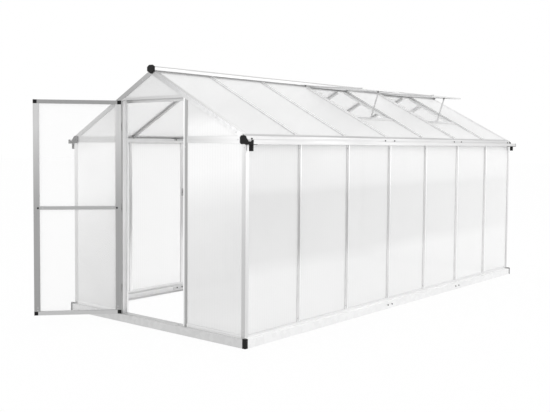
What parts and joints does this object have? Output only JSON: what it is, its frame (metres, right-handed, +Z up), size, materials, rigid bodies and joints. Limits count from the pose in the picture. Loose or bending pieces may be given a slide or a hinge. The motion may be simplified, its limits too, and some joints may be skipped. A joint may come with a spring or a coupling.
{
  "type": "greenhouse",
  "caption": "Hobby greenhouse with an aluminium frame, translucent twin-wall sheets, a steel base, gutters, a hinged gable door and propped roof vents.",
  "frame": {"origin": "on the ground, at the middle of the base's plan", "axes": "+X across the gable towards the side with the vents, +Y along the length away from the door gable, +Z up"},
  "size_m": [1.93, 4.679, 1.891],
  "materials": {
    "aluminium_profile": "satin mill-finish extrusion",
    "galvanised_base": "galvanised sheet, dull",
    "zinc_steel": "zinc plated",
    "polycarbonate_sheet": "clear twin-wall sheet, fluted",
    "black_plastic": "moulded, matt"
  },
  "bodies": {
    "frame": {"base_corner_feet": "black_plastic", "base_front_rail": "galvanised_base", "base_left_rails": "galvanised_base", "base_rear_rail": "galvanised_base", "base_right_rails": "galvanised_base", "corner_posts": "aluminium_profile", "door_catch": "zinc_steel", "door_header": "aluminium_profile", "frame_bolts": "zinc_steel", "front_eave_bars": "aluminium_profile", "front_gable_sheets": "polycarbonate_sheet", "front_rafters": "aluminium_profile", "gable_sill_rails": "aluminium_profile", "gutter_end_caps": "black_plastic", "hinge_pins": "zinc_steel", "hinge_post": "aluminium_profile", "hinge_post_leaves": "zinc_steel", "latch_post": "aluminium_profile", "left_gutter": "aluminium_profile", "left_roof_bars": "aluminium_profile", "left_roof_sheets": "polycarbonate_sheet", "left_wall_bars": "aluminium_profile", "left_wall_sheets": "polycarbonate_sheet", "rear_eave_bars": "aluminium_profile", "rear_gable_sheets": "polycarbonate_sheet", "rear_posts": "aluminium_profile", "rear_rafters": "aluminium_profile", "ridge": "aluminium_profile", "ridge_end_caps": "black_plastic", "right_gutter": "aluminium_profile", "right_roof_bars": "aluminium_profile", "right_roof_sheets": "polycarbonate_sheet", "right_wall_bars": "aluminium_profile", "right_wall_sheets": "polycarbonate_sheet", "side_sill_rails": "aluminium_profile", "splice_plates": "zinc_steel", "stay_pegs": "zinc_steel", "vent_sills": "aluminium_profile"},
    "door": {"door_bottom_rail": "aluminium_profile", "door_corner_caps": "black_plastic", "door_hinge_stile": "aluminium_profile", "door_knob": "black_plastic", "door_latch_stile": "aluminium_profile", "door_mid_rail": "aluminium_profile", "door_rail_plugs": "black_plastic", "door_sheets": "polycarbonate_sheet", "door_top_rail": "aluminium_profile", "hinge_door_leaves": "zinc_steel"},
    "vent_1": {"vent_1_bottom_bar": "aluminium_profile", "vent_1_sheet": "polycarbonate_sheet", "vent_1_side_bars": "aluminium_profile", "vent_1_stay_bracket": "zinc_steel", "vent_1_top_bar": "aluminium_profile"},
    "vent_2": {"vent_2_bottom_bar": "aluminium_profile", "vent_2_sheet": "polycarbonate_sheet", "vent_2_side_bars": "aluminium_profile", "vent_2_stay_bracket": "zinc_steel", "vent_2_top_bar": "aluminium_profile"},
    "stay_1": {"vent_1_stay": "zinc_steel"},
    "stay_2": {"vent_2_stay": "zinc_steel"}
  },
  "joints": [
    {"name": "door_hinge", "type": "hinge", "parent": "frame", "child": "door", "pos_m": [-0.321, -2.079, 0.85], "axis": [0, 0, -1], "range_deg": [-131, 34]},
    {"name": "vent_1_hinge", "type": "hinge", "parent": "frame", "child": "vent_1", "pos_m": [0.0532, 0, 1.84178], "axis": [0, -1, 0], "range_deg": [-24, 0]},
    {"name": "vent_2_hinge", "type": "hinge", "parent": "frame", "child": "vent_2", "pos_m": [0.0532, 1.2, 1.84178], "axis": [0, -1, 0], "range_deg": [-24, 0]},
    {"name": "stay_1_pivot", "type": "hinge", "parent": "vent_1", "child": "stay_1", "pos_m": [0.59775, 0, 1.78766], "axis": [0, -1, 0], "range_deg": [-74.4, 0]},
    {"name": "stay_2_pivot", "type": "hinge", "parent": "vent_2", "child": "stay_2", "pos_m": [0.59775, 1.2, 1.78766], "axis": [0, -1, 0], "range_deg": [-74.4, 0]}
  ],
  "couplings": [
    {"joint": "stay_1_pivot", "follows": "vent_1_hinge", "ratio": 3.1},
    {"joint": "stay_2_pivot", "follows": "vent_2_hinge", "ratio": 3.1}
  ]
}
